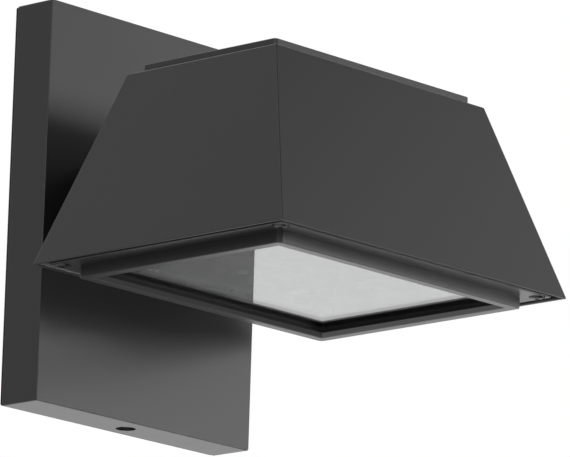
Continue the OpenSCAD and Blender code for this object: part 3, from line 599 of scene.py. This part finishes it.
def insulation(name, color):
    """Extruded wire insulation, slightly glossy."""
    material, shader, surface = finish(name)
    if shader:
        cloud = shader.noise(3 * MM, detail=3.0)
        tint = shader.shade(tone(color, 0.8), tone(color, 1.12), cloud)
        rough = 0.3 + 0.16 * cloud
        normal = shader.relief(shader.noise(0.8 * MM), 0.01 * MM)
        feed(shader, surface, Base_Color=tint, Roughness=rough, Normal=normal)
    return material


def clear_glass():
    """Clear tempered pane, with the faint haze of dust on it."""
    glass = bpy.context.scene.wall_light_glass
    material, shader, surface = finish(
        "clear_glass",
        IOR=glass.ior,
        Transmission_Weight=1.0,
        Base_Color=opaque(glass.tint),
    )
    if shader:
        rough = 0.005 + 0.02 * shader.noise(12 * MM, detail=4.0)
        normal = shader.relief(shader.noise(60 * MM, detail=1.0), 0.004 * MM)
        feed(shader, surface, Roughness=rough, Normal=normal)
    return material


# Pieces


def dress(nodes, material):
    """Gives CAD nodes a finish."""
    for name in nodes:
        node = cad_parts[name]
        node.data.materials.clear()
        node.data.materials.append(material)


def near_box(point, low, high, axes, margin):
    """Whether a point lies close to the piece's box along one of these axes."""
    return any(min(point[i] - low[i], high[i] - point[i]) < margin for i in axes)


def on_level(ends, level):
    """Whether both ends of an edge lie on a level."""
    return all(abs(end.z - level) < TOUCH for end in ends)


# How wide an edge is rounded, by its two ends and its piece's box, as a share of the edge radius,
# with 0 for an edge that stays crisp


def plate_edges(ends, low, high):
    """The outline of the back plate's front face and of its rim on the wall."""
    on_face = all(min(abs(end.y - low.y), abs(end.y - high.y)) < TOUCH for end in ends)
    on_outline = all(near_box(end, low, high, (0, 2), PLATE_CORNER) for end in ends)
    return 1.0 if on_face and on_outline else 0


def hood_edges(ends, low, high):
    """The hood's rim, its slanted corners and its roof, and the wider inner edge of its lip."""
    first, second = ends
    if (first - second).length < HOOD_EDGE:
        return 0
    if on_level(ends, low.z):
        outside = all(near_box(end, low, high, (0, 1), TOUCH) for end in ends)
        return 1.4 if outside else 1.7
    corner = abs(abs(first.z - second.z) - (high.z - low.z)) < TOUCH
    return 1.4 if on_level(ends, high.z) or corner else 0


def cap_edges(ends, low, high):
    """The outline of the cap's upper face."""
    return 1.0 if on_level(ends, high.z) else 0


def frame_edges(ends, low, high):
    """Both outlines of the ring's lowest face, and the flange's outline."""
    if on_level(ends, low.z):
        return 1.0
    below_top = all(end.z < high.z - TOUCH for end in ends)
    on_outline = all(near_box(end, low, high, (0, 1), FLANGE_CORNER) for end in ends)
    return 1.1 if below_top and on_outline else 0


def neck_edges(ends, low, high):
    """The neck's four long edges."""
    beside = all(near_box(end, low, high, (0,), TOUCH) for end in ends)
    above = all(near_box(end, low, high, (2,), TOUCH) for end in ends)
    return 1.0 if beside and above else 0


EDGES = {
    "back_plate": plate_edges,
    "neck": neck_edges,
    "hood": hood_edges,
    "top_cap": cap_edges,
    "lens_frame": frame_edges,
}


def soften(node_name, piece_name, body, material, width, steps):
    """A housing piece in its node's form: flats merged, outer edges rounded, smooth across them."""
    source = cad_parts[node_name]
    low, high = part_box(node_name)
    shape = bmesh.new()
    shape.from_mesh(source.data)
    bmesh.ops.remove_doubles(shape, verts=shape.verts, dist=WELD)
    bmesh.ops.dissolve_limit(shape, angle_limit=FLAT_TURN, verts=shape.verts, edges=shape.edges)
    groups = {}
    for edge in shape.edges:
        if len(edge.link_faces) == 2 and edge.calc_face_angle() > EDGE_TURN:
            ends = [vert.co for vert in edge.verts]
            share = EDGES[node_name](ends, low, high)
            groups.setdefault(share, []).append(edge)
    groups.pop(0, None)
    if not groups:
        raise RuntimeError("no edge to round on " + node_name)
    for share in sorted(groups):
        bmesh.ops.bevel(
            shape,
            geom=groups[share],
            offset=width * share,
            offset_type="OFFSET",
            segments=steps,
            profile=0.5,
            affect="EDGES",
            clamp_overlap=False,
        )
    for face in shape.faces:
        face.smooth = True
    for edge in shape.edges:
        edge.smooth = len(edge.link_faces) == 2 and edge.calc_face_angle() < CRISP_TURN
    mesh = bpy.data.meshes.new(piece_name)
    shape.to_mesh(mesh)
    shape.free()
    piece = bpy.data.objects.new(piece_name, mesh)
    bpy.context.scene.collection.objects.link(piece)
    shading = piece.modifiers.new("flat faces stay flat", "WEIGHTED_NORMAL")
    shading.keep_sharp = True
    shading.weight = 100
    piece.data.materials.append(material)
    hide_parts(node_name)
    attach(piece, body)


class WALL_LIGHT_OT_housing(Operator):
    """Back plate, neck, hood, cap and lens frame in powder coat with rounded edges"""

    bl_idname = "wall_light.housing"
    bl_label = "Housing"

    def execute(self, context):
        coat = context.scene.wall_light_coat
        for name in HOUSING:
            material = powder_coat("powder_coat")
            body = "fixture"
            if name == "lens_frame":
                # The lens frame's coat carries painted shade on its inner wall below the pane
                material = powder_coat("painted_shade_powder_coat", with_painted_shade=True)
                body = "lens"
            soften(name, "coated_" + name, body, material, coat.edge, coat.edge_steps)
        return {"FINISHED"}


class WALL_LIGHT_OT_pane(Operator):
    """The clear glass pane"""

    bl_idname = "wall_light.pane"
    bl_label = "Glass pane"

    def execute(self, context):
        dress(["lens_glass"], clear_glass())
        return {"FINISHED"}


class WALL_LIGHT_OT_seals(Operator):
    """Silicone seals, grommet and foam wall seal"""

    bl_idname = "wall_light.seals"
    bl_label = "Seals"

    def execute(self, context):
        silicone = rubber("black_silicone", (0.012, 0.012, 0.0125), pore=1.2 * MM, depth=0.02 * MM)
        foam = rubber("black_foam", (0.02, 0.02, 0.021), pore=0.7 * MM, depth=0.15 * MM)
        dress(SILICONE_SEALS, silicone)
        dress(["wall_seal"], foam)
        return {"FINISHED"}


class WALL_LIGHT_OT_bracket(Operator):
    """Zinc-plated wall bracket and ring terminal, with the green ground screws"""

    bl_idname = "wall_light.bracket"
    bl_label = "Wall bracket"

    def execute(self, context):
        zinc = plated_steel("zinc_plate", (0.62, 0.62, 0.60), 0.36)
        green = painted("green_screw_paint", (0.02, 0.22, 0.06), 0.3)
        dress(["wall_bracket", "ring_terminal"], zinc)
        dress(["ground_screw", "roof_screw"], green)
        return {"FINISHED"}


class WALL_LIGHT_OT_screws(Operator):
    """Stainless inner screws, blackened screws of the lens frame and black screws of the optic block"""

    bl_idname = "wall_light.screws"
    bl_label = "Screws"

    def execute(self, context):
        stainless = plated_steel("stainless", (0.36, 0.36, 0.355), 0.34)
        blackened = plated_steel("blackened_steel", (0.055, 0.055, 0.057), 0.34)
        dress(STAINLESS_SCREWS, stainless)
        dress(["frame_screws"], blackened)
        dress(["optic_screws"], painted("black_oxide", (0.02, 0.02, 0.021), 0.4))
        return {"FINISHED"}


class WALL_LIGHT_OT_light_engine(Operator):
    """Heat sink, board, light sources, optic block, connector, terminal block and driver"""

    bl_idname = "wall_light.light_engine"
    bl_label = "Light engine"

    def execute(self, context):
        black = moulded("black_optic", (0.010, 0.010, 0.0105), roughness=0.8, gloss=0.1)
        ivory = moulded("ivory_plastic", (0.74, 0.73, 0.66), roughness=0.42, gloss=0.5)
        dress(["heat_sink"], anodised())
        dress(["light_board"], solder_mask())
        dress(["leds"], phosphor())
        dress(["optic_block"], black)
        dress(["board_connector", "terminal_block"], ivory)
        dress(["driver"], driver_case())
        return {"FINISHED"}


class WALL_LIGHT_OT_leads(Operator):
    """Insulated leads from the terminal block to the driver and on to the board"""

    bl_idname = "wall_light.leads"
    bl_label = "Leads"

    def execute(self, context):
        dress(["line_lead", "minus_lead"], insulation("black_insulation", (0.018, 0.018, 0.018)))
        dress(["neutral_lead"], insulation("white_insulation", (0.74, 0.74, 0.72)))
        dress(["ground_lead"], insulation("green_insulation", (0.03, 0.26, 0.06)))
        dress(["plus_lead"], insulation("red_insulation", (0.42, 0.02, 0.015)))
        return {"FINISHED"}


# Studio


def photo_camera():
    """The camera that saw the photograph, solved from the light's own corners."""
    a, e, r = (math.radians(CAMERA[key]) for key in ("azimuth", "elevation", "roll"))
    turn = Matrix(((math.cos(a), -math.sin(a), 0), (math.sin(a), math.cos(a), 0), (0, 0, 1)))
    level = Matrix(((1, 0, 0), (0, 0, -1), (0, 1, 0)))
    tilt = Matrix(((1, 0, 0), (0, math.cos(e), -math.sin(e)), (0, math.sin(e), math.cos(e))))
    roll = Matrix(((math.cos(r), -math.sin(r), 0), (math.sin(r), math.cos(r), 0), (0, 0, 1)))
    view = roll @ tilt @ level @ turn
    place = -(view.transposed() @ Vector(CAMERA["target_from_lens"]))
    place.z += CAMERA["target_level"]
    data = bpy.data.cameras.new("photo_camera")
    data.sensor_width = SENSOR_WIDTH_MM
    data.lens = CAMERA["focal_px"] / CAMERA["frame_width_px"] * SENSOR_WIDTH_MM
    data.clip_start = NEAREST_SEEN
    data.clip_end = FARTHEST_SEEN
    camera = bpy.data.objects.new("photo_camera", data)
    right, down, ahead = view.row
    camera.matrix_world = Matrix((
        (right.x, -down.x, -ahead.x, place.x),
        (right.y, -down.y, -ahead.y, place.y),
        (right.z, -down.z, -ahead.z, place.z),
        (0, 0, 0, 1),
    ))
    bpy.context.scene.collection.objects.link(camera)
    bpy.context.scene.camera = camera


def softbox(name, level, direction, cover, distance):
    """A rectangular lamp that faces the light, by its brightness and its place in LAMPS."""
    around, up = (math.radians(angle) for angle in direction)
    wide, high = (2 * distance * math.tan(math.radians(angle) / 2) for angle in cover)
    way = Vector((math.sin(around) * math.cos(up), -math.cos(around) * math.cos(up), math.sin(up)))
    data = bpy.data.lights.new(name, "AREA")
    data.shape = "RECTANGLE"
    data.size = wide
    data.size_y = high
    data.energy = LAMP_POWER * level * data.size * data.size_y
    lamp = bpy.data.objects.new(name, data)
    lamp.location = MIDDLE + distance * way
    lamp.rotation_euler = way.to_track_quat("Z", "Y").to_euler()
    lamp.visible_camera = False
    bpy.context.scene.collection.objects.link(lamp)


def surroundings(shader, studio, way):
    """Brightness of the studio in a direction, for mirrored rays.

    A white backdrop stands behind the light, dimmer on the left, and a dim room in front, with a
    fill at its left.
    """
    parts = shader.node("ShaderNodeSeparateXYZ", {"Vector": way})
    behind = shader.fade(parts.outputs["Y"], *BACKDROP_FROM)
    right = shader.fade(parts.outputs["X"], *BACKDROP_DIMS, BACKDROP_DIMMEST, 1.0)
    left = shader.fade(parts.outputs["X"], *FILL_ENDS, 1.0, 0.0)
    front = studio.room + (studio.fill - studio.room) * left
    return front + (studio.backdrop * right - front) * behind


def seen_directly(shader):
    """1 for camera rays, and 1 for the first mirrored ray or ray through glass."""
    path = shader.node("ShaderNodeLightPath")
    bounces = Value(shader, path.outputs["Diffuse Depth"])
    first = 1 - bounces.least(1)
    seen = Value(shader, path.outputs["Is Camera Ray"])
    mirrored = Value(shader, path.outputs["Is Glossy Ray"])
    through = Value(shader, path.outputs["Is Transmission Ray"]) * (1 - mirrored)
    return seen, (mirrored + through) * first


def studio_world(studio):
    """White to the camera, the backdrop and the room to mirrored rays, and an even light to the rest."""
    world = bpy.data.worlds.new("studio")
    bpy.context.scene.world = world
    world.use_nodes = True
    shader = Shader(world.node_tree)
    seen, mirrored = seen_directly(shader)
    way = shader.node("ShaderNodeTexCoord").outputs["Generated"]
    level = surroundings(shader, studio, way)
    strength = studio.ambient + (1 - studio.ambient) * seen + (level - studio.ambient) * mirrored
    sky = shader.node("ShaderNodeBackground", {"Color": (1, 1, 1, 1), "Strength": strength})
    shader.node("ShaderNodeOutputWorld", {"Surface": sky.outputs[0]})


def floor_finish(studio):
    """White to the camera, the backdrop to mirrored rays, and nothing from below."""
    material = bpy.data.materials.new("floor_white")
    material.use_nodes = True
    shader = Shader(material.node_tree)
    seen, mirrored = seen_directly(shader)
    way = shader.node("ShaderNodeVectorMath", {0: shader.place()}, operation="NORMALIZE").outputs[0]
    level = surroundings(shader, studio, way)
    plain = shader.node("ShaderNodeBsdfDiffuse", {"Color": opaque([FLOOR_GREY] * 3)})
    strength = seen + level * mirrored
    glow = shader.node("ShaderNodeEmission", {"Color": (1, 1, 1, 1), "Strength": strength})
    share = FLOOR_GLOW * seen + mirrored
    above = shader.node("ShaderNodeMixShader", {0: share, 1: plain.outputs[0], 2: glow.outputs[0]})
    below = shader.node("ShaderNodeNewGeometry").outputs["Backfacing"]
    clear = shader.node("ShaderNodeBsdfTransparent")
    sided = shader.node("ShaderNodeMixShader", {0: below, 1: above.outputs[0], 2: clear.outputs[0]})
    shader.node("ShaderNodeOutputMaterial", {"Surface": sided.outputs[0]})
    return material


def studio_floor(studio, level):
    """A pale floor well below the light, which keeps the light's shadow."""
    shape = bmesh.new()
    steps = [FLOOR_HALF * (2 * i / FLOOR_CELLS - 1) for i in range(FLOOR_CELLS + 1)]
    grid = [[shape.verts.new((x, y, level)) for y in steps] for x in steps]
    for i in range(FLOOR_CELLS):
        for j in range(FLOOR_CELLS):
            shape.faces.new((grid[i][j], grid[i + 1][j], grid[i + 1][j + 1], grid[i][j + 1]))
    mesh = bpy.data.meshes.new("studio_floor")
    shape.to_mesh(mesh)
    shape.free()
    floor = bpy.data.objects.new("studio_floor", mesh)
    bpy.context.scene.collection.objects.link(floor)
    mesh.materials.append(floor_finish(studio))


class WALL_LIGHT_OT_studio(Operator):
    """Camera, floor, white world and soft lamps"""

    bl_idname = "wall_light.studio"
    bl_label = "Studio"

    def execute(self, context):
        studio = context.scene.wall_light_studio
        photo_camera()
        studio_world(studio)
        studio_floor(studio, CAD_BOX[0].z - studio.floor_drop)
        for name, (setting, direction, cover, distance) in LAMPS.items():
            softbox(name, getattr(studio, setting), direction, cover, distance)
        context.scene.view_settings.view_transform = "Standard"
        return {"FINISHED"}


# Add-on


PIECES = (
    WALL_LIGHT_OT_housing,
    WALL_LIGHT_OT_pane,
    WALL_LIGHT_OT_seals,
    WALL_LIGHT_OT_bracket,
    WALL_LIGHT_OT_screws,
    WALL_LIGHT_OT_light_engine,
    WALL_LIGHT_OT_leads,
    WALL_LIGHT_OT_studio,
)


class WALL_LIGHT_PT_sidebar(Panel):
    """Lists the settings and the pieces"""

    bl_label = "Wall Light"
    bl_space_type = "VIEW_3D"
    bl_region_type = "UI"
    bl_category = "Wall Light"

    def draw(self, context):
        for key, group in SETTINGS.items():
            box = self.layout.box()
            for name in group.__annotations__:
                box.prop(getattr(context.scene, key), name)
        for piece in PIECES:
            self.layout.operator(piece.bl_idname)


CLASSES = (*SETTINGS.values(), *PIECES, WALL_LIGHT_PT_sidebar)


def register():
    for made in CLASSES:
        bpy.utils.register_class(made)
    for key, group in SETTINGS.items():
        setattr(bpy.types.Scene, key, PointerProperty(type=group))


def unregister():
    for key in SETTINGS:
        delattr(bpy.types.Scene, key)
    for made in reversed(CLASSES):
        bpy.utils.unregister_class(made)


def main():
    register()
    for piece in PIECES:
        group, name = piece.bl_idname.split(".")
        getattr(getattr(bpy.ops, group), name)()


if __name__ == "__main__":
    main()
